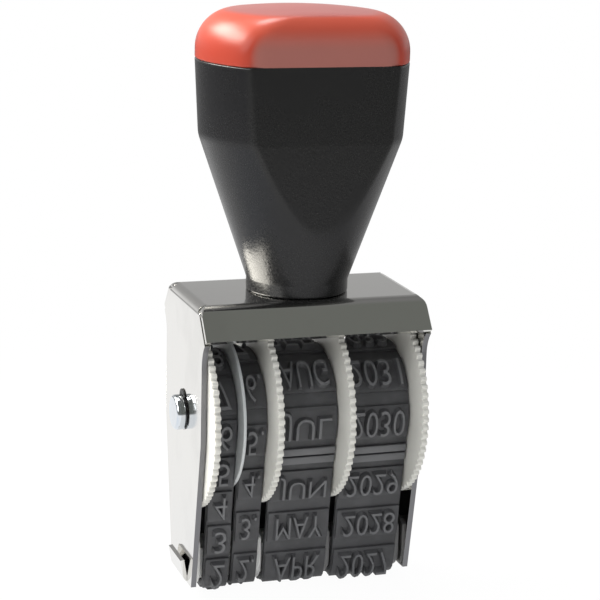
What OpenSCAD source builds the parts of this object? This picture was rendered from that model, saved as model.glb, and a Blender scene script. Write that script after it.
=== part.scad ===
// Four-band date stamp: a bent steel yoke under a turned plastic handle, thumb wheels on one axle,
// and rubber type bands that run over the wheels and under a print bridge between the yoke's feet.
// Millimetres, +Z up. The type faces print on the plane z = 0, with the handle's axis on Z.

/* [Frame] */
// Thickness of the steel sheet
sheet_t = 0.8; // [0.6:0.1:1]
// Outside radius of the folds between the top plate and the side plates
fold_r = 1.4; // [1.1:0.1:2]
// Height of the top plate's upper face
frame_top_z = 45.5; // [45:0.1:48]
// Depth of the flat top plate between the two lip folds
top_depth = 14.62; // [14:0.02:17]
// Outside radius of the folds between the top plate and the lips
lip_fold_r = 2.4; // [1.6:0.1:3]
// Angle of the lips below the horizontal
lip_angle = 52; // [45:1:58]
// Length of a lip below its fold
lip_len = 4.32; // [3.6:0.01:5]
// How far the lips' ends stop short of the side plates' outer faces
lip_inset = 0.1; // [0.05:0.05:0.3]
// Open seam between a lip and the edge of a side plate
seam_gap = 0.15; // [0.1:0.05:0.4]
// Depth of a side plate at its waist
waist_depth = 19.7; // [19:0.1:20.6]
// Height where the side plate's taper meets the waist
waist_z = 25.5; // [22:0.1:28]
// Depth of a side plate at its foot
foot_depth = 11.2; // [10.6:0.1:13]
// Height where the waist starts to flare under the lips
flare_z = 37; // [36.2:0.1:37.4]
// Radius of that flare
flare_r = 5; // [4:0.1:5.5]

/* [Handle] */
// Radius of the handle's neck
neck_r = 7.5; // [6.8:0.1:8]
// Length of the straight neck
neck_len = 2.1; // [1.5:0.1:3]
// Small step from the neck to the cone
neck_step = 0.1; // [0.1:0.05:0.4]
// Height of the cone above the neck
cone_h = 20.8; // [18:0.1:24]
// Radius of the handle at the seam with the cap
seam_r = 15.45; // [14.5:0.05:17]
// How much narrower the handle is at the top of the cone than at the seam
grip_flare = 0.6; // [0.2:0.1:1]
// Height of the seam above the cone
grip_h = 11; // [9:0.5:13]
// Radius that blends the cone into the upper part
blend_r = 5; // [2:0.5:7]
// Distance between the flat front and the flat back
flat_depth = 21.8; // [20.4:0.1:23]
// Chamfer on the neck's lower edge
neck_chamfer = 0.4; // [0.2:0.1:0.6]
// Radius of the socket that takes the cap's plug
socket_r = 8.6; // [7.5:0.1:9]
// Depth of that socket
socket_h = 12; // [8:0.5:14]

/* [Cap] */
// Height of the cap's crown above the seam
cap_h = 7.6; // [7.2:0.1:9]
// Radius of the cap's rounded shoulder
cap_round = 5.6; // [4.8:0.1:6]
// Height of the straight rim below the rounding
cap_rim = 1.4; // [0.8:0.1:1.6]
// Length of the plug below the seam
plug_h = 4.5; // [3:0.5:6]
// Wall of the plug and the cap
plug_wall = 1.6; // [1.2:0.1:2]
// Radial clearance of the plug in its socket
plug_gap = 0.08; // [0.05:0.01:0.15]

/* [Handle screw] */
// Radius of the screw's shank
screw_r = 2; // [1.5:0.1:2.2]
// Radius of the screw's head
head_r = 3.5; // [3:0.1:3.6]
// Height of the screw's head
head_h = 1.5; // [1.2:0.1:1.7]
// Width of the head's slot
slot_w = 0.8; // [0.6:0.1:1]
// Depth of the head's slot
slot_h = 0.8; // [0.5:0.1:0.9]
// Length of the shank above the head
screw_len = 11; // [9:0.5:13]
// Radius of the washer
washer_r = 4.2; // [3.9:0.1:4.6]
// Thickness of the washer
washer_t = 0.5; // [0.4:0.1:0.7]
// Outer radius of the threaded insert
insert_r = 3.4; // [3.1:0.1:4]
// Length of the threaded insert
insert_len = 9; // [7:0.5:11]
// Height of the insert's lower end above the top plate
insert_lift = 1.5; // [1:0.1:2.5]
// Radial clearance of the screw in the top plate and the handle
screw_gap = 0.15; // [0.1:0.05:0.3]
// Radial clearance of the screw in the insert
thread_gap = 0.02; // [0.01:0.01:0.05]

/* [Axle] */
// Height of the axle above the print plane
axle_z = 27.7; // [27:0.1:28.4]
// Radius of the axle
axle_r = 2.6; // [2.2:0.1:3]
// How far the axle stands out of each side plate
axle_end = 1.55; // [1.2:0.05:2]
// Rounding on the axle's ends
axle_round = 0.5; // [0.3:0.1:0.7]
// Radial clearance of the axle in the side plates
axle_gap = 0.03; // [0.02:0.01:0.06]
// Thickness of a retaining clip
clip_t = 0.2; // [0.15:0.05:0.5]
// Clearance on each side of a clip
clip_gap = 0.04; // [0.02:0.01:0.08]
// Depth of the groove that holds a clip
groove_h = 0.5; // [0.3:0.1:0.7]
// How far a clip stands out around the axle
clip_lip = 0.1; // [0.05:0.05:0.4]
// Radius of the lobe on top of a clip
lobe_r = 1.5; // [1.2:0.1:1.8]
// Height of that lobe above the axle
lobe_h = 0.9; // [0.6:0.1:1.2]
// Angle of a clip's mouth
clip_mouth = 60; // [50:5:100]

/* [Thumb wheels] */
// Outer radius of the toothed discs
disc_r = 14.2; // [13.2:0.1:14.6]
// Thickness of a toothed disc
disc_t = 0.9; // [0.7:0.05:1.1]
// Number of teeth on a disc
teeth = 72; // [60:2:80]
// Depth of the teeth
tooth_h = 0.45; // [0.3:0.05:0.6]
// Outer radius of a drum, over its grip ribs
drum_r = 7.55; // [7:0.05:8]
// Height of the grip ribs on a drum
rib_h = 0.3; // [0.2:0.05:0.5]
// Width of a grip rib
rib_w = 0.6; // [0.4:0.1:0.8]
// Number of grip ribs on a drum
ribs = 24; // [16:4:32]
// Wall of a drum under its ribs
drum_wall = 1.2; // [0.9:0.1:1.5]
// Wall of a wheel's hub
hub_wall = 1.3; // [1:0.1:1.5]
// Number of spokes in a drum
spokes = 6; // [4:1:8]
// Thickness of a spoke
spoke_t = 0.9; // [0.7:0.1:1.2]
// Radial running clearance of a wheel on the axle
run_gap = 0.05; // [0.03:0.01:0.08]
// Radius of the plain disc between the day bands
divider_r = 11.7; // [11:0.1:12.8]
// Thickness of that disc
divider_t = 0.45; // [0.35:0.05:0.6]
// Side clearance between neighbours on the axle
side_gap = 0.15; // [0.1:0.01:0.2]

/* [Bands] */
// Width of the first day band
tens_w = 3.7; // [3.2:0.1:4.4]
// Width of the second day band
units_w = 3.75; // [3.2:0.05:4.4]
// Width of the month band
month_w = 9.6; // [8.8:0.1:10.4]
// Width of the year band
year_w = 10; // [9:0.1:11]
// Thickness of a band without its pads
belt_t = 0.9; // [0.7:0.1:1]
// Height of the type pads, faces of the type included
pad_h = 1.2; // [0.9:0.1:1.4]
// How far the pads stop short of the band's edges
pad_inset = 0.25; // [0.15:0.05:0.4]
// Length of a pad along the band
pad_len = 4.95; // [4.5:0.05:5.2]
// Pads on the first day band
tens_pads = 15; // [13:1:15]
// Pads on the second day band
units_pads = 12; // [11:1:13]
// Pads on the month and year bands
word_pads = 12; // [11:1:13]
// Extra length for the splice of the month and year bands
splice_len = 3; // [2.4:0.1:3.6]
// Pads between the print line and the splice
splice_row = 3; // [2:1:5]
// Height of the two ribs on a splice
splice_rib_h = 0.6; // [0.4:0.1:0.8]
// Width of a splice rib
splice_rib_w = 1.15; // [0.8:0.05:1.3]
// Slit between the two splice ribs
splice_slit = 0.25; // [0.15:0.05:0.4]
// How far the first day band stands back from its index
tens_lag = 0.3; // [0:0.1:2]
// How far the second day band stands back from its index
units_lag = 1.2; // [0:0.1:2]
// How far the month band stands back from its index
month_lag = 1.3; // [0:0.1:2]
// How far the year band stands back from its index
year_lag = 1.8; // [0:0.1:2]
// Clearance of a band around its drum
drum_gap = 0.25; // [0.2:0.05:0.35]

/* [Print bridge] */
// Distance between the centres of the bridge's two rounded lower edges
nose_span = 4.2; // [3.6:0.1:5]
// Radius of those edges
nose_r = 1; // [0.8:0.1:1.3]
// Clearance of the bands around the bridge
bridge_gap = 0.2; // [0.1:0.05:0.3]
// Height of the bridge's body
bridge_h = 5; // [4:0.1:6]
// Thickness of the partition fins
fin_t = 0.7; // [0.5:0.05:0.8]
// Depth of the partition fins
fin_depth = 8.4; // [7.8:0.1:10.4]
// Height of the fins' tops above the print plane
fin_top_z = 9.2; // [8.4:0.1:9.4]
// How far the fins stop above the print plane
fin_bottom_z = 1.4; // [0.6:0.1:1.4]
// Radius of the fins' lower corners
fin_round = 3; // [2:0.1:3.6]
// Height of the slope at the fins' tops
fin_slope_h = 0.6; // [0.4:0.1:3]
// Clearance between the bridge and the side plates
bridge_end_gap = 0.1; // [0.05:0.05:0.15]
// Thickness of the steel strip
strip_t = 0.6; // [0.5:0.1:0.8]
// Depth of the strip where it passes the side plates
strip_depth = 5.2; // [4.4:0.1:5.6]
// Clearance of the strip in its channel and its notches
strip_gap = 0.05; // [0.03:0.01:0.1]
// Depth of the tabs bent up outside the side plates
tab_depth = 6.8; // [6:0.1:8.4]
// Height of a tab above its fold
tab_h = 2.5; // [2:0.1:4]
// Lean of the tabs away from the side plates
tab_lean = 10; // [3:1:12]
// Clearance between a tab's fold and the side plate
tab_gap = 0.06; // [0.04:0.02:0.12]

/* [Hidden] */
$fn = 96;

// Cuts run this far past the faces they open
cut = 1;

// Places of the discs and bands along the axle, from left to right, between the side plates
stack_w = 4 * disc_t + divider_t + tens_w + units_w + month_w + year_w + 10 * side_gap;
frame_w = stack_w + 2 * sheet_t;
plate_in = stack_w / 2;
tens_disc_x = -plate_in + side_gap;
tens_x = tens_disc_x + disc_t + side_gap;
divider_x = tens_x + tens_w + side_gap;
units_x = divider_x + divider_t + side_gap;
units_disc_x = units_x + units_w + side_gap;
month_x = units_disc_x + disc_t + side_gap;
month_disc_x = month_x + month_w + side_gap;
year_x = month_disc_x + disc_t + side_gap;
year_disc_x = year_x + year_w + side_gap;

// Heights at the foot, from the print plane up
band_t = belt_t + pad_h;
foot_z = band_t + bridge_gap;
nose_z = foot_z + nose_r;
nose_y = nose_span / 2;
bridge_top_z = foot_z + bridge_h;
// Outside radius of the strip's folds
strip_fold = 2 * strip_t;

// Loop of a band's inner face: two small arcs at the bridge, one large arc on the drum
loop_r = drum_r + drum_gap;
turn_r = nose_r + bridge_gap;
centre_d = norm([nose_y, axle_z - nose_z]);
run_lean = asin((loop_r - turn_r) / centre_d) - atan2(nose_y, axle_z - nose_z);
run_len = sqrt(pow(centre_d, 2) - pow(loop_r - turn_r, 2));
pitch_off = belt_t / 2;
turn_len = (90 - run_lean) * PI / 180 * (turn_r + pitch_off);
drum_len = (90 + run_lean) * PI / 180 * (loop_r + pitch_off);
half_loop = nose_y + turn_len + run_len + drum_len;

// Handle and cap heights, and the radius at the top of the cone
shoulder_r = seam_r - grip_flare;
neck_top_z = frame_top_z + neck_len;
shoulder_z = neck_top_z + cone_h;
seam_z = shoulder_z + grip_h;
crown_z = seam_z + cap_h;
round_z = seam_z + cap_rim;
// The crown is a large sphere that meets the rounded shoulder without an edge
round_x = seam_r - cap_round;
crown_rise = crown_z - round_z;
crown_r = (pow(round_x, 2) + pow(crown_rise, 2) - pow(cap_round, 2)) / (2 * (crown_rise - cap_round));
crown_angle = atan2(round_x, crown_r - crown_rise);

// Lip and side plate construction
flat_y = top_depth / 2;
top_x = frame_w / 2 - fold_r;
fold_z = frame_top_z - fold_r;
lip_fold_z = frame_top_z - lip_fold_r;

// Start of a retaining clip along the axle, counted outwards from the frame's middle
clip_x = frame_w / 2 + clip_gap;

// A drawing in (y, z) made into a bar from x0 to x1
module along_x(x0, x1) {
    translate([x0, 0, 0]) rotate([90, 0, 90]) linear_extrude(x1 - x0) children();
}

// A drawing in (x, z) made into a bar from y0 to y1
module along_y(y0, y1) {
    translate([0, y1, 0]) rotate([90, 0, 0]) linear_extrude(y1 - y0) children();
}

// A bar of round section about the X axis at the height of the axle
module on_axle(x0, x1, r) {
    translate([x0, 0, axle_z]) rotate([0, 90, 0]) cylinder(r = r, h = x1 - x0);
}

// Points on an arc in the plane, from angle a0 to angle a1
function arc(centre, r, a0, a1, steps) =
    [for (i = [0 : steps]) let (a = a0 + (a1 - a0) * i / steps) centre + r * [cos(a), sin(a)]];

// Sheet that turns down by an angle round a fold and runs on for a length
module fold_2d(angle, r, t, len) {
    intersection() {
        difference() {
            circle(r);
            circle(r - t);
        }
        square(2 * r);
        rotate(-angle) translate([-2 * r, 0]) square(2 * r);
    }
    rotate(-angle) translate([0, r - t]) square([len, t]);
}

// Outline of a side plate: tapered foot, straight waist, and a flare that follows the lips
module plate_2d() {
    edge_r = lip_fold_r - sheet_t - seam_gap;
    edge_start = [flat_y, lip_fold_z] + edge_r * [sin(lip_angle), cos(lip_angle)];
    edge_len = (edge_start[1] - flare_z) / sin(lip_angle);
    edge_end = edge_start + edge_len * [cos(lip_angle), -sin(lip_angle)];
    difference() {
        for (side = [0, 1]) mirror([side, 0]) polygon([
            [0, foot_z], [foot_depth / 2, foot_z], [waist_depth / 2, waist_z], [waist_depth / 2, flare_z],
            edge_end, edge_start, each arc([flat_y, lip_fold_z], edge_r, 90 - lip_angle / 2, 90, 3),
            [flat_y - seam_gap, lip_fold_z + edge_r], [flat_y - seam_gap, frame_top_z + cut],
            [0, frame_top_z + cut]
        ]);
        for (side = [-1, 1]) translate([side * (waist_depth / 2 + flare_r), flare_z]) circle(flare_r);
    }
}

// Outline of the lips from the front: their upper corners are round, like the folds beside them
module lip_front_2d() {
    half = frame_w / 2 - lip_inset;
    corner_x = half - fold_r;
    polygon([
        [-half, foot_z], each arc([-corner_x, fold_z], fold_r, 180, 90, 8), [-corner_x, frame_top_z + cut],
        [corner_x, frame_top_z + cut], each arc([corner_x, fold_z], fold_r, 90, 0, 8), [half, foot_z]
    ]);
}

module frame() color([0.8, 0.8, 0.78]) difference() {
    union() {
        along_x(-top_x, top_x)
            translate([-flat_y, frame_top_z - sheet_t]) square([top_depth, sheet_t]);
        for (side = [0, 1]) mirror([0, side, 0]) intersection() {
            along_x(-frame_w / 2, frame_w / 2)
                translate([flat_y, lip_fold_z]) fold_2d(lip_angle, lip_fold_r, sheet_t, lip_len);
            along_y(0, waist_depth) lip_front_2d();
        }
        intersection() {
            along_x(-frame_w / 2 - cut, frame_w / 2 + cut) plate_2d();
            for (side = [0, 1]) mirror([side, 0, 0]) along_y(-waist_depth, waist_depth)
                translate([top_x, fold_z]) fold_2d(90, fold_r, sheet_t, fold_z - foot_z);
        }
    }
    on_axle(-frame_w, frame_w, axle_r + axle_gap);
    translate([0, 0, frame_top_z - sheet_t - cut]) cylinder(r = screw_r + screw_gap, h = sheet_t + 2 * cut);
    notch_depth = strip_depth + 2 * strip_gap;
    translate([-frame_w, -notch_depth / 2, foot_z - cut])
        cube([2 * frame_w, notch_depth, strip_fold + strip_gap + cut]);
}

// Outline of the handle from its axis: neck, cone, blended shoulder and a slightly flared upper part
module handle_profile_2d() {
    cone_lean = atan2(shoulder_r - neck_r - neck_step, cone_h);
    grip_lean = atan2(seam_r - shoulder_r, grip_h);
    reach = blend_r * tan((cone_lean - grip_lean) / 2);
    blend_start = [shoulder_r, shoulder_z] - reach * [sin(cone_lean), cos(cone_lean)];
    blend_centre = blend_start + blend_r * [-cos(cone_lean), sin(cone_lean)];
    polygon([
        [0, frame_top_z], [neck_r - neck_chamfer, frame_top_z], [neck_r, frame_top_z + neck_chamfer],
        [neck_r, neck_top_z - neck_step], [neck_r + neck_step, neck_top_z],
        each arc(blend_centre, blend_r, -cone_lean, -grip_lean, 6),
        [seam_r, seam_z], [0, seam_z]
    ]);
}

// Keeps what lies between the flat front and the flat back of the handle
module between_flats() {
    intersection() {
        children();
        translate([-2 * seam_r, -flat_depth / 2, 0]) cube([4 * seam_r, flat_depth, crown_z + cut]);
    }
}

module handle_body() color([0.12, 0.12, 0.13]) difference() {
    between_flats() rotate_extrude() handle_profile_2d();
    translate([0, 0, seam_z - socket_h]) cylinder(r = socket_r, h = socket_h + cut);
    translate([0, 0, frame_top_z - cut]) cylinder(r = screw_r + screw_gap, h = insert_lift + 2 * cut);
    translate([0, 0, frame_top_z + insert_lift]) cylinder(r = insert_r, h = insert_len);
}

// Outline of the cap from its axis: straight rim, rounded shoulder and shallow crown
module cap_profile_2d() {
    polygon([
        [0, seam_z], [seam_r, seam_z],
        each arc([round_x, round_z], cap_round, 0, 90 - crown_angle, 8),
        each arc([0, crown_z - crown_r], crown_r, 90 - crown_angle * 5 / 6, 90, 5)
    ]);
}

module handle_cap() color([0.85, 0.2, 0.14]) difference() {
    union() {
        between_flats() rotate_extrude() cap_profile_2d();
        translate([0, 0, seam_z - plug_h]) cylinder(r = socket_r - plug_gap, h = plug_h + cut);
    }
    translate([0, 0, seam_z - plug_h - cut])
        cylinder(r = socket_r - plug_gap - plug_wall, h = plug_h + cap_h - plug_wall + cut);
}

module handle_insert() color([0.75, 0.6, 0.3]) difference() {
    translate([0, 0, frame_top_z + insert_lift]) cylinder(r = insert_r, h = insert_len);
    translate([0, 0, frame_top_z + insert_lift - cut])
        cylinder(r = screw_r + thread_gap, h = insert_len + 2 * cut);
}

module handle_screw() color([0.7, 0.7, 0.7]) {
    head_top_z = frame_top_z - sheet_t - washer_t;
    difference() {
        union() {
            translate([0, 0, head_top_z - head_h]) cylinder(r = head_r, h = head_h);
            translate([0, 0, head_top_z - head_h / 2]) cylinder(r = screw_r, h = screw_len + head_h / 2);
        }
        translate([-head_r - cut, -slot_w / 2, head_top_z - head_h - cut])
            cube([2 * (head_r + cut), slot_w, slot_h + cut]);
    }
}

module screw_washer() color([0.72, 0.72, 0.7]) difference() {
    translate([0, 0, frame_top_z - sheet_t - washer_t]) cylinder(r = washer_r, h = washer_t);
    translate([0, 0, frame_top_z - sheet_t - washer_t - cut])
        cylinder(r = screw_r + screw_gap, h = washer_t + 2 * cut);
}

module axle() color([0.78, 0.78, 0.78]) {
    half = frame_w / 2 + axle_end;
    translate([0, 0, axle_z]) rotate([0, 90, 0]) rotate_extrude()
        for (side = [0, 1]) mirror([0, side]) difference() {
            polygon([
                [0, 0], [axle_r, 0],
                each arc([axle_r - axle_round, half - axle_round], axle_round, 0, 90, 4),
                [0, half]
            ]);
            translate([axle_r - groove_h, clip_x - clip_gap])
                square([groove_h + cut, clip_t + 2 * clip_gap]);
        }
}

// Open ring that snaps into a groove of the axle from above, with a lobe on top to push it by
module axle_clip(side) color([0.1, 0.1, 0.1]) {
    x0 = side > 0 ? clip_x : -clip_x - clip_t;
    inner_r = axle_r - groove_h + clip_gap;
    outer_r = axle_r + clip_lip;
    along_x(x0, x0 + clip_t) translate([0, axle_z]) difference() {
        union() {
            circle(outer_r);
            translate([0, axle_r + lobe_h - lobe_r]) circle(lobe_r);
        }
        circle(inner_r);
        polygon([[0, 0], for (a = [-0.5, 0, 0.5] * clip_mouth) 2 * outer_r * [sin(a), -cos(a)]]);
    }
}

module axle_clip_left() axle_clip(-1);
module axle_clip_right() axle_clip(1);

// Rim of a thumb disc: flat-topped teeth with sloping flanks
module toothed_2d() {
    step = 360 / teeth;
    root_r = disc_r - tooth_h;
    polygon([for (i = [0 : teeth - 1]) each [
        root_r * [cos(i * step), sin(i * step)],
        root_r * [cos((i + 0.22) * step), sin((i + 0.22) * step)],
        disc_r * [cos((i + 0.42) * step), sin((i + 0.42) * step)],
        disc_r * [cos((i + 0.8) * step), sin((i + 0.8) * step)]
    ]]);
}

// Drum under a band: ribbed wall, spokes and hub
module drum_2d() {
    wall_r = drum_r - rib_h;
    hub_r = axle_r + run_gap + hub_wall;
    difference() {
        circle(wall_r);
        circle(wall_r - drum_wall);
    }
    for (i = [0 : ribs - 1]) rotate(i * 360 / ribs)
        translate([wall_r - drum_wall / 2, -rib_w / 2]) square([rib_h + drum_wall / 2, rib_w]);
    circle(hub_r);
    for (i = [0 : spokes - 1]) rotate(i * 360 / spokes)
        translate([0, -spoke_t / 2]) square([wall_r - drum_wall / 2, spoke_t]);
}

// One thumb wheel: toothed disc at disc_x and a drum that fills the lane of its band
module thumb_wheel(disc_x, lane_x, lane_w) color([0.93, 0.92, 0.88]) {
    drum_x0 = lane_x > disc_x ? disc_x + disc_t : lane_x;
    drum_x1 = lane_x > disc_x ? lane_x + lane_w : disc_x;
    difference() {
        union() {
            along_x(disc_x, disc_x + disc_t) translate([0, axle_z]) toothed_2d();
            along_x(drum_x0, drum_x1) translate([0, axle_z]) drum_2d();
        }
        on_axle(-frame_w, frame_w, axle_r + run_gap);
    }
}

module day_tens_wheel() thumb_wheel(tens_disc_x, tens_x, tens_w);
module day_units_wheel() thumb_wheel(units_disc_x, units_x, units_w);
module month_wheel() thumb_wheel(month_disc_x, month_x, month_w);
module year_wheel() thumb_wheel(year_disc_x, year_x, year_w);

module day_divider() color([0.8, 0.82, 0.83]) difference() {
    on_axle(divider_x, divider_x + divider_t, divider_r);
    on_axle(divider_x - cut, divider_x + divider_t + cut, axle_r + run_gap);
}

// Closed outline at a distance outside the inner face of a band
function loop_outline(off) = concat(
    arc([-nose_y, nose_z], turn_r + off, 270, 180 + run_lean, 6),
    arc([0, axle_z], loop_r + off, 180 + run_lean, -run_lean, 24),
    arc([nose_y, nose_z], turn_r + off, -run_lean, -90, 6)
);

// Point of the front half, s along the band from the middle of the print line
function front_at(s, off) =
    let (s1 = s - nose_y, s2 = s1 - turn_len, s3 = s2 - run_len)
    s1 < 0 ? [-s, nose_z - turn_r - off]
    : s2 < 0 ? let (a = 270 - s1 / turn_len * (90 - run_lean))
        [-nose_y, nose_z] + (turn_r + off) * [cos(a), sin(a)]
    : s3 < 0 ? [-nose_y, nose_z] - (turn_r + off) * [cos(run_lean), sin(run_lean)]
        + s2 * [-sin(run_lean), cos(run_lean)]
    : let (a = 180 + run_lean - s3 / drum_len * (90 + run_lean))
        [0, axle_z] + (loop_r + off) * [cos(a), sin(a)];

// Point anywhere on the loop: the back half mirrors the front half
function loop_at(s, off) =
    let (w = s - 2 * half_loop * floor(s / (2 * half_loop)))
    w <= half_loop ? front_at(w, off)
    : let (p = front_at(2 * half_loop - w, off)) [-p[0], p[1]];

// Raised block on a band from s0 to s1 along the loop, rooted in the belt
module block_2d(s0, s1, h, steps) {
    s = [for (i = [0 : steps]) s0 + (s1 - s0) * i / steps];
    polygon(concat(
        [for (i = [0 : steps]) loop_at(s[i], belt_t + h)],
        [for (i = [steps : -1 : 0]) loop_at(s[i], pitch_off)]
    ));
}

// Type band in the lane from x0, with evenly pitched pads that stand back from the print line by a lag and,
// on the word bands, a two-ribbed splice
module type_band(x0, w, pads, splice, lag) color([0.22, 0.22, 0.23]) {
    pitch = (2 * half_loop - splice) / pads;
    along_x(x0, x0 + w) difference() {
        polygon(loop_outline(belt_t));
        polygon(loop_outline(0));
    }
    for (i = [0 : pads - 1]) {
        s = i * pitch + (i > splice_row ? splice : 0) - lag;
        along_x(x0 + pad_inset, x0 + w - pad_inset) block_2d(s - pad_len / 2, s + pad_len / 2, pad_h, 6);
    }
    if (splice > 0) for (side = [-1, 1]) {
        s = (splice_row + 0.5) * pitch + splice / 2 - lag + side * (splice_rib_w + splice_slit) / 2;
        along_x(x0 + pad_inset, x0 + w - pad_inset)
            block_2d(s - splice_rib_w / 2, s + splice_rib_w / 2, splice_rib_h, 2);
    }
}

module day_tens_band() type_band(tens_x, tens_w, tens_pads, 0, tens_lag);
module day_units_band() type_band(units_x, units_w, units_pads, 0, units_lag);
module month_band() type_band(month_x, month_w, word_pads, splice_len, month_lag);
module year_band() type_band(year_x, year_w, word_pads, splice_len, year_lag);

// Partition in line with a thumb disc, with rounded lower corners and a sloping top
module fin_2d() {
    half = fin_depth / 2;
    block = nose_y + nose_r;
    polygon([
        each arc([-half + fin_round, fin_bottom_z + fin_round], fin_round, 270, 180, 6),
        [-half, fin_top_z - fin_slope_h], [-block, fin_top_z],
        [block, fin_top_z], [half, fin_top_z - fin_slope_h],
        each arc([half - fin_round, fin_bottom_z + fin_round], fin_round, 0, -90, 6)
    ]);
}

// Body of the bridge: a bar with two rounded lower edges that the bands turn round
module bridge_2d() {
    polygon([
        each arc([-nose_y, nose_z], nose_r, 270, 180, 6),
        [-nose_y - nose_r, bridge_top_z], [nose_y + nose_r, bridge_top_z],
        each arc([nose_y, nose_z], nose_r, 0, -90, 6)
    ]);
}

module print_bridge() color([0.93, 0.93, 0.9]) difference() {
    end_x = plate_in - bridge_end_gap;
    union() {
        along_x(-end_x, end_x) bridge_2d();
        for (disc_x = [tens_disc_x, units_disc_x, month_disc_x, year_disc_x])
            translate([disc_x + disc_t / 2, 0, 0]) along_x(-fin_t / 2, fin_t / 2) fin_2d();
    }
    channel = strip_depth + 2 * strip_gap;
    translate([-frame_w, -channel / 2, foot_z - strip_gap])
        cube([2 * frame_w, channel, strip_t + 2 * strip_gap]);
}

// Section of the strip along X: flat under the bridge, both ends folded up and leaning outwards
module strip_2d() {
    inner_r = strip_fold - strip_t;
    centre = [frame_w / 2 + tab_gap - inner_r, foot_z + strip_fold];
    last = 360 - tab_lean;
    rise = tab_h * [sin(tab_lean), cos(tab_lean)];
    half = [
        each arc(centre, strip_fold, 270, last, 6),
        centre + strip_fold * [cos(last), sin(last)] + rise,
        centre + inner_r * [cos(last), sin(last)] + rise,
        each arc(centre, inner_r, last, 270, 6)
    ];
    polygon([each half, for (i = [len(half) - 1 : -1 : 0]) [-half[i][0], half[i][1]]]);
}

// The strip is narrow where it passes the side plates and wider in the tabs outside them
module bridge_strip() color([0.78, 0.78, 0.76]) {
    along_y(-strip_depth / 2, strip_depth / 2) strip_2d();
    inside_w = frame_w + tab_gap;
    along_y(-tab_depth / 2, tab_depth / 2) difference() {
        strip_2d();
        translate([-inside_w / 2, 0]) square([inside_w, frame_top_z]);
    }
}

frame();
handle_body();
handle_cap();
handle_insert();
handle_screw();
screw_washer();
axle();
axle_clip_left();
axle_clip_right();
day_tens_wheel();
day_units_wheel();
month_wheel();
year_wheel();
day_divider();
day_tens_band();
day_units_band();
month_band();
year_band();
print_bridge();
bridge_strip();
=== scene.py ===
from math import asin, atan2, cos, floor, hypot, pi, radians, sin, sqrt, tan

import bpy
from mathutils import Matrix, Vector


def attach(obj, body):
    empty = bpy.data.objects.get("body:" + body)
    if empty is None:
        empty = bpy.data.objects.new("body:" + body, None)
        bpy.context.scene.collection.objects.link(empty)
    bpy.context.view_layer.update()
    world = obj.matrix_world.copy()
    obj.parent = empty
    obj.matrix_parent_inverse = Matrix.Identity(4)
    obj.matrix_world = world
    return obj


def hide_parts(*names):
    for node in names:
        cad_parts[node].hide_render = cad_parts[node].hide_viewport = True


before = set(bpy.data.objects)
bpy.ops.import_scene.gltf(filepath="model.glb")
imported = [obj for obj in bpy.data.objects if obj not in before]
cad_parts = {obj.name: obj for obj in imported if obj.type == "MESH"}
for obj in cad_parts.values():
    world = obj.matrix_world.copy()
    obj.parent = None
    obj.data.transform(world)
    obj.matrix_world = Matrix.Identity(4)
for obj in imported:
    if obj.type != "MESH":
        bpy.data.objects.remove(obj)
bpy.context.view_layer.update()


# The view: a long lens held a little above the stamp and to its left, as in the photograph, and turned a
# little about its own axis. The stamp stands on the print plane, z = 0.
MM = 0.001
azimuth, elevation, roll = radians(-18.569), radians(13.402), radians(1.474)
looks_at = Vector((0.577, 0, 43.814)) * MM
distance = 290.398 * MM
back = Vector((sin(azimuth) * cos(elevation), -cos(azimuth) * cos(elevation), sin(elevation)))
right = Vector((cos(azimuth), sin(azimuth), 0))
up = back.cross(right)
right, up = right * cos(roll) + up * sin(roll), up * cos(roll) - right * sin(roll)
eye = looks_at + back * distance
bpy.ops.object.select_all(action="DESELECT")
bpy.ops.object.camera_add()
camera = bpy.context.object
camera.matrix_world = Matrix((right, up, back)).transposed().to_4x4()
camera.location = eye
camera.data.sensor_width = 36
camera.data.lens = 117.78
camera.data.shift_x = 0.0002
camera.data.shift_y = -0.0015
camera.data.clip_start = 0.01
scene = bpy.context.scene
scene.camera = camera
scene.view_settings.view_transform = "Standard"


# The finishes are mixed with this class. It wraps one shader socket, so that a pattern is written as a sum,
# and add() makes any other node from its type, its settings and the values or wires of its sockets.
class Wire:
    def __init__(self, tree, socket):
        self.tree, self.socket = tree, socket

    def add(self, kind, settings, sockets, output=0):
        node = self.tree.nodes.new(kind)
        for name, value in settings.items():
            if name == "stops":
                ramp = node.color_ramp.elements
                while len(ramp) < len(value):
                    ramp.new(0.5)
                for stop, (place, colour) in zip(ramp, value):
                    stop.position, stop.color = place, colour
            else:
                setattr(node, name, value)
        for name, value in sockets.items():
            if isinstance(value, Wire):
                self.tree.links.new(value.socket, node.inputs[name])
            else:
                node.inputs[name].default_value = value
        return Wire(self.tree, node.outputs[output])

    def maths(self, operation, first, second):
        return self.add("ShaderNodeMath", {"operation": operation}, {0: first, 1: second})

    def __add__(self, other):
        return self.maths("ADD", self, other)

    def __radd__(self, other):
        return self.maths("ADD", other, self)

    def __rsub__(self, other):
        return self.maths("SUBTRACT", other, self)

    def __mul__(self, other):
        return self.maths("MULTIPLY", self, other)

    def __rmul__(self, other):
        return self.maths("MULTIPLY", other, self)


# The room: a pale floor that takes the stamp's shadow and turns white away from it, and that metal mirrors
# with a painted pool of light left of the stamp, a painted shadow to its right and grey far off; a surround
# that the camera sees as white and metal mirrors darker overhead and in front; and three soft lamps, the
# main one high at the back left.
def between(wire, low, high, to_low=0.0, to_high=1.0):
    """The wire's range from low to high, made soft at both ends and moved to a new range."""
    return wire.add(
        "ShaderNodeMapRange",
        {"interpolation_type": "SMOOTHSTEP"},
        {"Value": wire, "From Min": low, "From Max": high, "To Min": to_low, "To Max": to_high},
    )


def blend(mask, under, over):
    """Two colours mixed by a mask."""
    sockets = {"Factor": mask, "A": under, "B": over}
    return mask.add("ShaderNodeMix", {"data_type": "RGBA"}, sockets, 2)


def grey(level):
    """A neutral colour."""
    return (level, level, level, 1)


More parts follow.
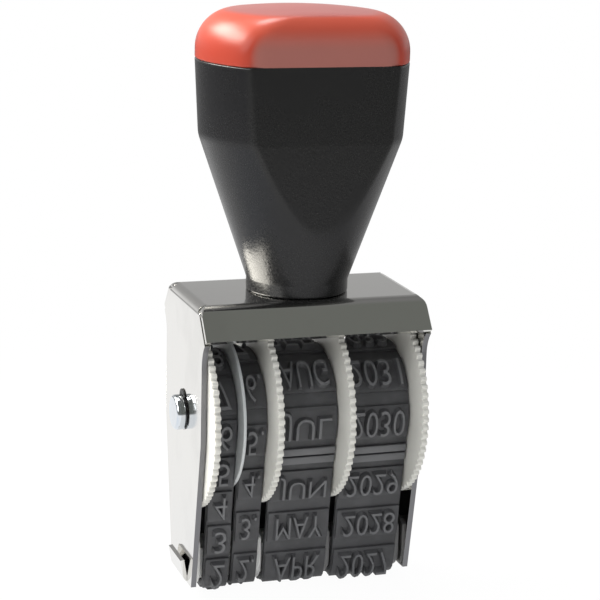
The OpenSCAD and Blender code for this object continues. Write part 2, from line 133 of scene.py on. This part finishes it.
def ray_kinds(tree):
    """Wires that are 1 for what the camera sees directly and for what is seen in a reflection."""
    rays = tree.nodes.new("ShaderNodeLightPath")
    mirrored = Wire(tree, rays.outputs["Is Glossy Ray"]) + Wire(tree, rays.outputs["Is Transmission Ray"])
    return Wire(tree, rays.outputs["Is Camera Ray"]), mirrored


world = bpy.data.worlds.new("surround")
scene.world = world
world.use_nodes = True
sky = world.node_tree
sky.nodes.clear()
direct, mirrored = ray_kinds(sky)
heading = direct.add("ShaderNodeTexCoord", {}, {}, "Generated")
height = heading.add("ShaderNodeSeparateXYZ", {}, {0: heading}, "Z")
depth = heading.add("ShaderNodeSeparateXYZ", {}, {0: heading}, "Y")
overhead = height.add(
    "ShaderNodeValToRGB",
    {"stops": [(0.0, grey(0.8)), (0.23, grey(0.39)), (0.8, grey(0.17)), (1.0, grey(0.2))]},
    {0: height},
)
surround = blend(between(depth, -0.35, 0.15), (0.155, 0.162, 0.150, 1), overhead)
ambient = between(height, 0, 1, 0.40, 0.72)
shown = blend(mirrored, blend(direct, ambient, grey(1.0)), surround)
lit = shown.add("ShaderNodeBackground", {}, {"Color": shown, "Strength": 1.0})
out = sky.nodes.new("ShaderNodeOutputWorld")
sky.links.new(lit.socket, out.inputs["Surface"])

bpy.ops.object.select_all(action="DESELECT")
floor_width, floor_z = 6, -0.1 * MM
bpy.ops.mesh.primitive_plane_add(size=floor_width, location=(0, 0, floor_z))
floor_piece = bpy.context.object
floor_piece.name = "floor"
floor_paint = bpy.data.materials.new("floor")
floor_paint.use_nodes = True
tree = floor_paint.node_tree
tree.nodes.clear()
direct, mirrored = ray_kinds(tree)
place = direct.add("ShaderNodeTexCoord", {}, {}, "Object")
away = place.add("ShaderNodeVectorMath", {"operation": "LENGTH"}, {0: place}, "Value")
white = between(away, 0.03, 0.16, 0.97, 1.0)
across = place.add("ShaderNodeSeparateXYZ", {}, {0: place}, "X")
# Seen in mirrors the floor glows with a painted pool of light left of the stamp, a painted shadow on its
# right, and grey far off.
pool_centre = (-0.075, 0, 0)
pool = place.add("ShaderNodeVectorMath", {"operation": "DISTANCE"}, {0: place, 1: pool_centre}, "Value")
painted_shadow_side = blend(between(across, 0, 0.08), grey(1.0), grey(0.6))
painted_light_pool = blend(between(pool, 0.01, 0.07), (0.92, 0.95, 1.0, 1), painted_shadow_side)
tone = blend(mirrored, grey(1.0), blend(between(away, 0.18, 0.34), painted_light_pool, grey(0.3)))
matt = white.add("ShaderNodeBsdfDiffuse", {}, {"Color": grey(0.86)})
glow = white.add("ShaderNodeEmission", {}, {"Color": tone, "Strength": 1.0})
mixed = white.add("ShaderNodeMixShader", {}, {0: direct * white + mirrored, 1: matt, 2: glow})
out = tree.nodes.new("ShaderNodeOutputMaterial")
tree.links.new(mixed.socket, out.inputs["Surface"])
floor_piece.data.materials.append(floor_paint)

for name, stands, aim, width, tall, power, colour in (
    ("main_lamp", (-0.40, 0.25, 0.42), (0, 0, 0.05), 0.56, 0.20, 6.1, (1, 0.97, 0.90)),
    ("left_lamp", (-0.50, -0.20, 0.30), (0, 0, 0.045), 0.35, 0.35, 1.0, (1, 1, 1)),
    ("top_lamp", (-0.01, 0.18, 0.60), (0, 0, 0.08), 0.20, 0.20, 1.7, (1, 1, 1)),
):
    lamp_data = bpy.data.lights.new(name, "AREA")
    lamp_data.shape = "RECTANGLE"
    lamp_data.size, lamp_data.size_y = width, tall
    lamp_data.energy = power
    lamp_data.color = colour
    lamp = bpy.data.objects.new(name, lamp_data)
    scene.collection.objects.link(lamp)
    lamp.location = stands
    lamp.rotation_euler = (Vector(stands) - Vector(aim)).to_track_quat("Z", "Y").to_euler()


# The yoke is one stamped steel sheet, folded into a top plate, two side plates and two sloping lips, and
# bright nickel plated. Its cut edges are tumbled, so they are eased and catch the light.
weld = 0.001 * MM
same_plane, eased_from, smooth_below = radians(0.5), radians(28), radians(35)


def eased_copy(node, piece, ease):
    """The node's solid as one closed mesh, its triangles joined into whole faces and its edges eased."""
    copy = bpy.data.objects.new(piece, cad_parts[node].data.copy())
    scene.collection.objects.link(copy)
    copy.data.materials.clear()
    bpy.ops.object.select_all(action="DESELECT")
    copy.select_set(True)
    bpy.context.view_layer.objects.active = copy
    bpy.ops.mesh.customdata_custom_splitnormals_clear()
    bpy.ops.object.mode_set(mode="EDIT")
    bpy.ops.mesh.select_all(action="SELECT")
    bpy.ops.mesh.remove_doubles(threshold=weld)
    bpy.ops.mesh.dissolve_limited(angle_limit=same_plane)
    bpy.ops.object.mode_set(mode="OBJECT")
    bevel = copy.modifiers.new("eased", "BEVEL")
    bevel.width = ease * MM
    bevel.segments = 2
    bevel.limit_method = "ANGLE"
    bevel.angle_limit = eased_from
    bpy.ops.object.modifier_apply(modifier="eased")
    bpy.ops.object.shade_smooth_by_angle(angle=smooth_below)
    even = copy.modifiers.new("even", "WEIGHTED_NORMAL")
    even.keep_sharp = True
    bpy.ops.object.modifier_apply(modifier="even")
    return copy


def dress(piece, body, slot, material, *nodes):
    """Paints a piece, fixes it to its body, and hides the solids that it stands for."""
    piece.data.materials.append(material)
    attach(piece, body)
    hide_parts(*nodes)


def new_finish(name):
    """A new material, its shader, and a wire of Object coordinates that patterns start from."""
    material = bpy.data.materials.new(name)
    material.use_nodes = True
    tree = material.node_tree
    place = tree.nodes.new("ShaderNodeTexCoord")
    return material, tree.nodes["Principled BSDF"], Wire(tree, place.outputs["Object"])


def feed(shader, **wires):
    """Joins wires to the shader's sockets; an underscore stands for a space."""
    for name, wire in wires.items():
        wire.tree.links.new(wire.socket, shader.inputs[name.replace("_", " ")])


def noise(place, scale, detail, stretch=(1, 1, 1)):
    """Noise of about 1 / scale metres, drawn out along an axis by a small stretch there."""
    drawn = place.add("ShaderNodeMapping", {}, {"Vector": place, "Scale": stretch})
    return place.add("ShaderNodeTexNoise", {}, {"Vector": drawn, "Scale": scale, "Detail": detail})


def bump(height_wire, depth, strength):
    """A height pattern as a normal, its depth in millimetres."""
    return height_wire.add(
        "ShaderNodeBump", {}, {"Height": height_wire, "Distance": depth * MM, "Strength": strength}
    )


def nickel_plate(name, streak, tint):
    """Bright nickel over rolled sheet: faint rolling lines, handling smudges and soft waviness."""
    material, shader, place = new_finish(name)
    lines = noise(place, 2600, 2.0, streak)
    smudge = noise(place, 90, 4.0)
    waves = noise(place, 160, 1.0)
    patch_tone = between(smudge, 0.48, 0.72)
    raw = place.add("ShaderNodeAttribute", {"attribute_name": "cut_edge"}, {}, "Fac")
    plated = blend(patch_tone, tint, tuple(0.93 * part for part in tint[:3]) + (1,))
    feed(
        shader,
        Base_Color=blend(raw, plated, (0.22, 0.22, 0.23, 1)),
        Roughness=0.06 + 0.07 * patch_tone + 0.04 * lines + 0.3 * raw,
        Normal=bump(0.25 * lines + waves, 0.02, 0.35),
    )
    shader.inputs["Metallic"].default_value = 1.0
    return material


bright_nickel = nickel_plate("bright_nickel", (1, 1, 0.04), (0.80, 0.79, 0.765, 1))
yoke = eased_copy("frame", "yoke", 0.10)
side_x, fold_z, edge_facing = 16.2 * MM, 41 * MM, 0.3
cut_edge = yoke.data.attributes.new("cut_edge", "FLOAT", "FACE")
for face in yoke.data.polygons:
    on_side = abs(face.center.x) > side_x and face.center.z < fold_z
    cut_edge.data[face.index].value = float(on_side and abs(face.normal.x) < edge_facing)
dress(yoke, "stamp", "nickel", bright_nickel, "frame")


# Inside the yoke's top a slotted screw and a washer hold the handle. They are turned and zinc plated, and the
# threaded insert in the handle's neck is brass.
def turned_metal(name, tint, roughness):
    """Turned metal: fine rings about the upright axis and a slightly uneven tone."""
    material, shader, place = new_finish(name)
    rings = noise(place, 5200, 1.0, (0.05, 0.05, 1))
    tone = noise(place, 240, 3.0)
    feed(
        shader,
        Base_Color=blend(between(tone, 0.4, 0.7), tint, tuple(0.8 * part for part in tint[:3]) + (1,)),
        Roughness=roughness + 0.12 * rings,
        Normal=bump(rings, 0.01, 0.3),
    )
    shader.inputs["Metallic"].default_value = 1.0
    return material


zinc = turned_metal("zinc", (0.66, 0.66, 0.65, 1), 0.28)
brass = turned_metal("brass", (0.76, 0.58, 0.27, 1), 0.25)
for node, piece, slot, metal in (
    ("handle_screw", "slotted_screw", "steel", zinc),
    ("screw_washer", "washer", "steel", zinc),
    ("handle_insert", "threaded_insert", "brass", brass),
):
    dress(eased_copy(node, piece, 0.08), "stamp", slot, metal, node)


# The handle is moulded in black plastic with a fine grain. It is round, coned down to a short neck, and its
# front and back are flattened, with soft edges where the flats run out into the cone.
def turned(piece, outline, steps):
    """A closed solid from an outline in millimetres, turned once about the upright axis."""
    mesh = bpy.data.meshes.new(piece)
    points = [(r * MM, 0, z * MM) for r, z in outline]
    mesh.from_pydata(points, [(i, i + 1) for i in range(len(points) - 1)], [])
    solid = bpy.data.objects.new(piece, mesh)
    scene.collection.objects.link(solid)
    bpy.ops.object.select_all(action="DESELECT")
    solid.select_set(True)
    bpy.context.view_layer.objects.active = solid
    bpy.ops.object.mode_set(mode="EDIT")
    bpy.ops.mesh.select_all(action="SELECT")
    bpy.ops.mesh.spin(steps=steps, angle=2 * pi, center=(0, 0, 0), axis=(0, 0, 1))
    bpy.ops.mesh.select_all(action="SELECT")
    bpy.ops.mesh.remove_doubles(threshold=weld)
    bpy.ops.mesh.normals_make_consistent(inside=False)
    bpy.ops.object.mode_set(mode="OBJECT")
    return solid


def arc(centre, radius, start, end, steps):
    """Points on an arc in the plane, from one angle to another, in degrees."""
    angles = [radians(start + (end - start) * i / steps) for i in range(steps + 1)]
    return [(centre[0] + radius * cos(a), centre[1] + radius * sin(a)) for a in angles]


def line(start, end, steps):
    """Points on a straight line, without its first."""
    parts = [(i + 1) / steps for i in range(steps)]
    return [tuple(a + (b - a) * part for a, b in zip(start, end)) for part in parts]


flat_y, flat_lean, handle_edge = 10.9, 0.046, 0.3
frame_top_z, seam_z, seam_r, seam_round = 45.5, 79.4, 15.45, 0.25
neck_r, neck_top_z, cone_r, foot_round = 7.5, 47.6, 7.6, 0.35
shoulder_r, shoulder_z, blend_r = 14.85, 68.4, 5.0
screw_r, insert_r, insert_low_z, insert_top_z = 2.15, 3.4, 47.0, 56.0
socket_r, socket_z, turn_steps = 8.6, 67.4, 288
soft_below = radians(30)


def flatten(solid, edge, top_z, top_round):
    """Presses front and back to flats that lean in below the shoulder and are rounded at their edges."""
    for vertex in solid.data.vertices:
        depth, height = abs(vertex.co.y) / MM, vertex.co.z / MM
        rise = max(height - top_z + top_round, 0)
        limit = flat_y - top_round + max(top_round ** 2 - rise ** 2, 0) ** 0.5
        limit -= flat_lean * max(shoulder_z - height, 0)
        overlap = max(edge - abs(depth - limit), 0) / edge
        depth = min(depth, limit) - overlap * overlap * edge / 4
        vertex.co.y = depth * MM if vertex.co.y > 0 else -depth * MM


cone_lean = atan2(shoulder_r - cone_r, shoulder_z - neck_top_z)
grip_lean = atan2(seam_r - shoulder_r, seam_z - shoulder_z)
reach = blend_r * tan((cone_lean - grip_lean) / 2)
bend_low = (shoulder_r - reach * sin(cone_lean), shoulder_z - reach * cos(cone_lean))
bend_centre = (bend_low[0] - blend_r * cos(cone_lean), bend_low[1] + blend_r * sin(cone_lean))
bend = arc(bend_centre, blend_r, -cone_lean * 180 / pi, -grip_lean * 180 / pi, 8)
body_outline = (
    [(0, insert_top_z), (insert_r, insert_top_z), (insert_r, insert_low_z)]
    + [(screw_r, insert_low_z), (screw_r, frame_top_z)]
    + arc((neck_r - foot_round, frame_top_z + foot_round), foot_round, -90, 0, 4)
    + [(neck_r, neck_top_z - 0.25), (neck_r + 0.06, neck_top_z - 0.1), (cone_r, neck_top_z + 0.05)]
    + line((cone_r, neck_top_z + 0.05), bend_low, 44)[:-1]
    + bend
    + line(bend[-1], (seam_r, seam_z - seam_round), 20)
    + arc((seam_r - seam_round, seam_z - seam_round), seam_round, 0, 90, 4)[1:]
    + [(socket_r, seam_z), (socket_r, socket_z), (0, socket_z)]
)
handle = turned("handle", body_outline, turn_steps)
flatten(handle, handle_edge, seam_z, 0)
bpy.ops.object.shade_smooth_by_angle(angle=soft_below)


def moulded_plastic(name, tint, deep, patches, roughness, grain_scale, grain_depth):
    """Moulded plastic: a fine eroded grain, a slow change of tone, and places rubbed smoother by hands."""
    material, shader, place = new_finish(name)
    grain = noise(place, grain_scale, 2.0)
    sockets = {"Vector": place, "Scale": 0.7 * grain_scale}
    pores = place.add("ShaderNodeTexVoronoi", {"feature": "F1"}, sockets)
    rubbed = between(noise(place, 60, 3.0), 0.45, 0.75)
    tone = blend(rubbed, tint, deep)
    # Patches of colour in bands along one axis are laid over the tone; on the cap they are painted light and
    # shade.
    for axis, low, high, patch_tone in patches:
        along = place.add("ShaderNodeSeparateXYZ", {}, {0: place}, axis)
        tone = blend(between(along.maths("ABSOLUTE", along, 0), low * MM, high * MM), tone, patch_tone)
    feed(
        shader,
        Base_Color=tone,
        Roughness=roughness - 0.07 * rubbed + 2.5 * grain_depth * grain,
        Normal=bump(grain + 0.5 * pores, grain_depth, 0.5),
    )
    shader.inputs["Specular IOR Level"].default_value = 0.4
    return material


# The handle's front and back flats are coloured a little lighter than the rest.
tone_patches = [("Y", flat_y - 1.0, flat_y, (0.010, 0.010, 0.010, 1))]
black_plastic = moulded_plastic(
    "black_plastic", (0.006, 0.006, 0.007, 1), (0.005, 0.005, 0.006, 1), tone_patches, 0.24, 3000, 0.030
)
dress(handle, "stamp", "black_plastic", black_plastic, "handle_body")


# The red cap is a thin moulding that plugs into the top of the handle. Its crown is shallow, its shoulder
# round, and it carries the handle's flats upwards with a softer edge. Its colour has painted shade on the
# flats, painted light on a band round the shoulder and a painted pale reflection on the crown.
cap_round, rim_z, crown_z = 5.6, 80.8, 87.0
cap_edge, cap_top_round = 1.7, 4.0
plug_r, plug_z, hollow_r, hollow_z = 8.52, 74.9, 6.92, 85.4
round_r = seam_r - cap_round
rise = crown_z - rim_z
crown_r = (round_r ** 2 + rise ** 2 - cap_round ** 2) / (2 * (rise - cap_round))
crown_angle = atan2(round_r, crown_r - rise) * 180 / pi
cap_outline = (
    [(0, hollow_z), (hollow_r, hollow_z), (hollow_r, plug_z), (plug_r, plug_z), (plug_r, seam_z)]
    + arc((seam_r - seam_round, seam_z + seam_round), seam_round, -90, 0, 4)
    + arc((round_r, rim_z), cap_round, 0, 90 - crown_angle, 26)
    + arc((0, crown_z - crown_r), crown_r, 90 - crown_angle, 90, 22)[1:]
)
cap_outline[-1] = (0, crown_z)
cap = turned("cap", cap_outline, turn_steps)
flatten(cap, cap_edge, crown_z, cap_top_round)
bpy.ops.object.shade_smooth_by_angle(angle=soft_below)
# Painted light and shade in the cap's colour: painted shade on the front and back flats, painted light on the
# shoulder band, and a painted pale reflection on the crown.
tone_patches = [
    ("Y", flat_y - 0.55, flat_y, (0.30, 0.108, 0.090, 1)),
    ("Z", 81.5, 85.6, (0.48, 0.078, 0.046, 1)),
    ("Z", 86.0, 86.5, (0.36, 0.120, 0.112, 1)),
]
red_plastic = moulded_plastic(
    "red_plastic", (0.36, 0.036, 0.016, 1), (0.33, 0.032, 0.014, 1), tone_patches, 0.34, 3600, 0.005
)
dress(cap, "stamp", "red_plastic", red_plastic, "handle_cap")


# A plain steel axle carries the wheels. Its rounded ends stand out of the side plates, and a black spring
# clip sits in a groove at each end.
bright_zinc = nickel_plate("bright_zinc", (0.04, 1, 1), (0.74, 0.78, 0.82, 1))
axle = eased_copy("axle", "axle_rod", 0.05)
dress(axle, "stamp", "nickel", bright_zinc, "axle")
black_steel, shader, place = new_finish("black_steel")
scale_marks = noise(place, 1800, 3.0)
feed(
    shader,
    Base_Color=blend(between(scale_marks, 0.4, 0.7), (0.006, 0.006, 0.007, 1), (0.018, 0.017, 0.016, 1)),
    Roughness=0.32 + 0.2 * scale_marks,
    Normal=bump(scale_marks, 0.01, 0.3),
)
shader.inputs["Metallic"].default_value = 0.6
clip_seat, clip_low_z, clip_tall = 17.14, 25.36, 5.84
thin_end, thicker_by = 0.14, 0.7
for side in ("left", "right"):
    clip = eased_copy("axle_clip_" + side, "spring_clip_" + side, 0.04)
    for vertex in clip.data.vertices:
        outward = 1 if vertex.co.x > 0 else -1
        thinned = thin_end + thicker_by * (vertex.co.z / MM - clip_low_z) / clip_tall
        vertex.co.x = outward * (clip_seat + thinned * (abs(vertex.co.x) / MM - clip_seat)) * MM
    dress(clip, "stamp", "black_steel", black_steel, "axle_clip_" + side)


# Four moulded thumb wheels turn on the axle, each a toothed disc with a ribbed drum for its band. A thin
# plain disc keeps the two day bands apart.
def satin_plastic(name, tint, shade):
    """Satin moulding: faint flow marks, a little grime in patches and a very fine skin."""
    material, shader, place = new_finish(name)
    skin = noise(place, 4200, 2.0)
    grime = between(noise(place, 170, 4.0), 0.5, 0.8)
    feed(
        shader,
        Base_Color=blend(grime, tint, shade),
        Roughness=0.38 + 0.10 * grime + 0.05 * skin,
        Normal=bump(skin, 0.006, 0.3),
    )
    return material


ivory_plastic = satin_plastic("ivory_plastic", (0.60, 0.60, 0.57, 1), (0.54, 0.535, 0.50, 1))
for wheel in ("day_tens", "day_units", "month", "year"):
    thumb_wheel = eased_copy(wheel + "_wheel", wheel + "_thumb_wheel", 0.07)
    dress(thumb_wheel, wheel, "ivory_plastic", ivory_plastic, wheel + "_wheel")
# The divider is white plastic; its grey colour is painted shade, for the shade that falls between the bands.
shade_painted_grey_plastic = satin_plastic("shade_painted_grey_plastic", (0.47, 0.495, 0.51, 1), (0.40, 0.42, 0.43, 1))
dress(eased_copy("day_divider", "divider_disc", 0.08), "stamp", "white_plastic", shade_painted_grey_plastic, "day_divider")


# The bands run under a moulded white bridge with partition fins, whose fins beside the month and year bands
# are painted dark with the shade that falls there. A bright steel strip under the bridge is bent up outside
# the side plates to hold it.
shade_painted_plastic, shader, place = new_finish("shade_painted_plastic")
across = place.add("ShaderNodeSeparateXYZ", {}, {0: place}, "X")
blotch = noise(place, 380, 4.0)
shade_from, shade_to, shade_ragged = 4.2 * MM, 5.6 * MM, 3 * MM
# Painted shade: the fins beside the month and year bands are coloured dark grey, with a ragged edge, for the
# shade that falls there.
painted_fin_shade = between(across + shade_ragged * blotch, shade_from, shade_to)
bare = blend(blotch, (0.80, 0.81, 0.81, 1), (0.70, 0.71, 0.71, 1))
feed(
    shader,
    Base_Color=blend(painted_fin_shade, bare, (0.20, 0.20, 0.205, 1)),
    Roughness=0.40 + 0.12 * blotch,
    Normal=bump(blotch, 0.006, 0.3),
)
dress(eased_copy("print_bridge", "bridge", 0.10), "stamp", "white_plastic", shade_painted_plastic, "print_bridge")
strip = eased_copy("bridge_strip", "holding_strip", 0.08)
dress(strip, "stamp", "nickel", bright_nickel, "bridge_strip")


# Four rubber bands are moulded flat, with type on raised pads, then stretched round a drum and the bridge.
# The month and year bands are closed by a splice under two ribs. The type is reversed, so that it prints
# upright.
belt_t, pad_h, plate_h, pad_inset, pad_len = 0.9, 1.2, 0.45, 0.12, 4.95
rib_w, rib_h, rib_slit, splice_after = 1.15, 0.6, 0.25, 3
sunk, belt_ease, pad_ease, rib_ease = 0.3, 0.12, 0.16, 0.14
turn_cuts, drum_cuts, pad_cuts, spare_len = 8, 44, 8, 2
type_tall, type_low, type_step, type_cuts, type_weld = 4.25, -1.8, 0.6, 7, 0.004 * MM
drift_z, drift_len = 14.5, 5
nose_y, nose_z, turn_r = 2.1, 3.3, 1.2
drum_z, loop_r = 27.7, 7.8
centre_d = hypot(nose_y, drum_z - nose_z)
run_lean = asin((loop_r - turn_r) / centre_d) - atan2(nose_y, drum_z - nose_z)
run_len = sqrt(centre_d ** 2 - (loop_r - turn_r) ** 2)
turn_len = (pi / 2 - run_lean) * (turn_r + belt_t / 2)
drum_len = (pi / 2 + run_lean) * (loop_r + belt_t / 2)
half_loop = nose_y + turn_len + run_len + drum_len


def on_front(s, rise):
    """The point (y, z) on the front half of the loop, s along it from the middle of the print line."""
    turned_by, run_by, drum_by = s - nose_y, s - nose_y - turn_len, s - nose_y - turn_len - run_len
    if turned_by < 0:
        return -s, nose_z - turn_r - rise
    if run_by < 0:
        angle = 1.5 * pi - turned_by / turn_len * (pi / 2 - run_lean)
        return -nose_y + (turn_r + rise) * cos(angle), nose_z + (turn_r + rise) * sin(angle)
    if drum_by < 0:
        y = -nose_y - (turn_r + rise) * cos(run_lean) - run_by * sin(run_lean)
        return y, nose_z - (turn_r + rise) * sin(run_lean) + run_by * cos(run_lean)
    angle = pi + run_lean - drum_by / drum_len * (pi / 2 + run_lean)
    return (loop_r + rise) * cos(angle), drum_z + (loop_r + rise) * sin(angle)


def on_loop(s, rise):
    """The same anywhere on the loop: the back half mirrors the front half."""
    s -= 2 * half_loop * floor(s / (2 * half_loop))
    if s <= half_loop:
        return on_front(s, rise)
    y, z = on_front(2 * half_loop - s, rise)
    return -y, z


def flat_bar(name, width, length, low, high, ease):
    """A flat bar of rubber about the origin, from low to high, with its edges eased."""
    bpy.ops.object.select_all(action="DESELECT")
    bpy.ops.mesh.primitive_cube_add(size=1, location=(0, 0, (low + high) / 2 * MM))
    bar = bpy.context.object
    bar.name = name
    bar.scale = (width * MM, length * MM, (high - low) * MM)
    bpy.ops.object.transform_apply(location=True, rotation=True, scale=True)
    bpy.ops.object.mode_set(mode="EDIT")
    bpy.ops.mesh.select_all(action="SELECT")
    bpy.ops.mesh.bevel(offset=ease * MM, segments=2, affect="EDGES")
    bpy.ops.object.mode_set(mode="OBJECT")
    return bar


def cut_across(bar, places):
    """Cuts a flat piece across at places along it, so that it can bend there."""
    bpy.context.view_layer.objects.active = bar
    bpy.ops.object.mode_set(mode="EDIT")
    for place in places:
        bpy.ops.mesh.select_all(action="SELECT")
        bpy.ops.mesh.bisect(plane_co=(0, place * MM, 0), plane_no=(0, 1, 0), threshold=weld)
    bpy.ops.object.mode_set(mode="OBJECT")


def type_line(label, width, tall):
    """One line of raised type, reversed, on the plane of a plate: sloping flanks and a flat face."""
    bpy.ops.object.select_all(action="DESELECT")
    bpy.ops.object.text_add()
    line_of_type = bpy.context.object
    text = line_of_type.data
    text.body = label
    text.resolution_u = 3
    text.offset = -0.013
    text.bevel_depth = 0.06
    text.bevel_resolution = 0
    bpy.ops.object.convert(target="MESH")
    line_of_type = bpy.context.object
    vertices = line_of_type.data.vertices
    low = [min(v.co[axis] for v in vertices) for axis in range(3)]
    high = [max(v.co[axis] for v in vertices) for axis in range(3)]
    squeeze = width / (high[0] - low[0])
    stretch = tall / (high[1] - low[1])
    for v in vertices:
        v.co.x = (v.co.x - (low[0] + high[0]) / 2) * squeeze * MM
        v.co.y = -(v.co.y - (low[1] + high[1]) / 2) * stretch * MM
        v.co.z = v.co.z / high[2] * (pad_h - plate_h) * MM
    bpy.ops.object.mode_set(mode="EDIT")
    bpy.ops.mesh.select_all(action="SELECT")
    bpy.ops.mesh.remove_doubles(threshold=type_weld)
    bpy.ops.mesh.normals_make_consistent(inside=False)
    bpy.ops.object.mode_set(mode="OBJECT")
    cut_across(line_of_type, [type_low + type_step * i for i in range(type_cuts)])
    return line_of_type


def type_band(name, x0, width, labels, splice, lag, type_width, drift):
    """A band in its lane, a pad for each label, wrapped round its loop and drifting aside at the bottom."""
    loop_len = 2 * half_loop
    pitch = (loop_len - splice) / len(labels)
    x_mid = x0 + width / 2
    splice_s = (splice_after + 0.5) * pitch + splice / 2 - lag
    bends = [nose_y + turn_len * i / turn_cuts for i in range(turn_cuts + 1)]
    bends += [half_loop - drum_len * (i + 0.5) / drum_cuts for i in range(drum_cuts)]
    belt = flat_bar(name, width, loop_len + spare_len, 0, belt_t, belt_ease)
    for v in belt.data.vertices:
        v.co.y += half_loop * MM
    cut_across(belt, bends + [loop_len - bend for bend in bends])
    bpy.ops.object.mode_set(mode="EDIT")
    bpy.ops.mesh.select_all(action="SELECT")
    bpy.ops.mesh.bisect(plane_co=(0, 0, 0), plane_no=(0, 1, 0), clear_inner=True)
    bpy.ops.mesh.select_all(action="SELECT")
    bpy.ops.mesh.bisect(plane_co=(0, loop_len * MM, 0), plane_no=(0, 1, 0), clear_outer=True)
    bpy.ops.object.mode_set(mode="OBJECT")

    parts = [belt]
    pad_width = width - 2 * pad_inset
    plate = flat_bar("plate", pad_width, pad_len, belt_t - sunk, belt_t + plate_h, pad_ease)
    cut_across(plate, [pad_len * (i / pad_cuts - 0.5) for i in range(1, pad_cuts)])
    for i, label in enumerate(labels):
        s = i * pitch + (splice if i > splice_after else 0) - lag
        copy = plate.copy()
        copy.data = plate.data.copy()
        scene.collection.objects.link(copy)
        for v in copy.data.vertices:
            v.co.y += s * MM
        parts.append(copy)
        if label.strip():
            line_of_type = type_line(label, type_width, type_tall)
            for v in line_of_type.data.vertices:
                v.co.y += s * MM
                v.co.z += (belt_t + plate_h) * MM
            parts.append(line_of_type)
    bpy.data.objects.remove(plate)
    if splice:
        for side in (-1, 1):
            rib = flat_bar("rib", pad_width, rib_w, belt_t - sunk, belt_t + rib_h, rib_ease)
            for v in rib.data.vertices:
                v.co.y += (splice_s + side * (rib_w + rib_slit) / 2) * MM
            parts.append(rib)

    bpy.ops.object.select_all(action="DESELECT")
    for part in parts:
        part.select_set(True)
    bpy.context.view_layer.objects.active = belt
    bpy.ops.object.join()
    mesh = belt.data
    lie = mesh.uv_layers.new(name="lie")
    for loop in mesh.loops:
        flat = mesh.vertices[loop.vertex_index].co / MM
        on_rib = splice and abs(flat.y - splice_s) < rib_w + rib_slit and flat.z > belt_t + rib_h / 2
        lie.data[loop.index].uv = (flat.y / 10, belt_t + pad_h if on_rib else flat.z)
    for v in mesh.vertices:
        y, z = on_loop(v.co.y / MM, v.co.z / MM)
        low = min(max((drift_z - z) / drift_len, 0), 1)
        v.co = ((x_mid + v.co.x / MM + drift * low * low * (3 - 2 * low)) * MM, y * MM, z * MM)
    bpy.ops.object.mode_set(mode="EDIT")
    bpy.ops.mesh.select_all(action="SELECT")
    bpy.ops.mesh.remove_doubles(threshold=weld)
    bpy.ops.mesh.normals_make_consistent(inside=False)
    bpy.ops.object.mode_set(mode="OBJECT")
    bpy.ops.object.shade_smooth_by_angle(angle=soft_below)
    return belt


rubber, shader, place = new_finish("rubber")
lie = place.add("ShaderNodeUVMap", {"uv_map": "lie"}, {})
rise_mm = place.add("ShaderNodeSeparateXYZ", {}, {0: lie}, "Y")
type_face = between(rise_mm, 1.95, 2.08)
dust = between(noise(place, 420, 4.0), 0.45, 0.75)
pores = noise(place, 5200, 2.0)
matt_rubber = blend(dust, (0.064, 0.065, 0.070, 1), (0.085, 0.087, 0.093, 1))
feed(
    shader,
    Base_Color=blend(type_face, matt_rubber, (0.135, 0.138, 0.146, 1)),
    Roughness=0.52 + 0.12 * dust + 0.06 * pores,
    Normal=bump(pores, 0.01, 0.4),
)
shader.inputs["Specular IOR Level"].default_value = 0.4

tens = ["1", "2", "3", "4", "5", "6", "7", "8", "9", "0", "1", "2", "3", "0", "-"]
units = ["1.", "2.", "3.", "4.", "5.", "6.", "7.", "8.", "9.", "0.", "1.", "-"]
months = ["MAR", "APR", "MAY", "JUN", "JUL", "AUG", "SEP", "OCT", "NOV", "DEC", "JAN", "FEB"]
years = [str(2026 + i) for i in range(12)]
for name, x0, width, labels, splice, lag, type_width, drift in (
    ("day_tens", -15.18, 3.88, tens, 0, 0.3, 2.3, 0.30),
    ("day_units", -10.74, 3.94, units, 0, 1.2, 2.75, 0.10),
    ("month", -5.78, 9.76, months, 3.0, 1.3, 7.8, 0.14),
    ("year", 5.02, 10.16, years, 3.0, 1.8, 8.6, 0.14),
):
    band = type_band(name + "_type_band", x0, width, labels, splice, lag, type_width, drift)
    dress(band, "stamp", "rubber", rubber, name + "_band")
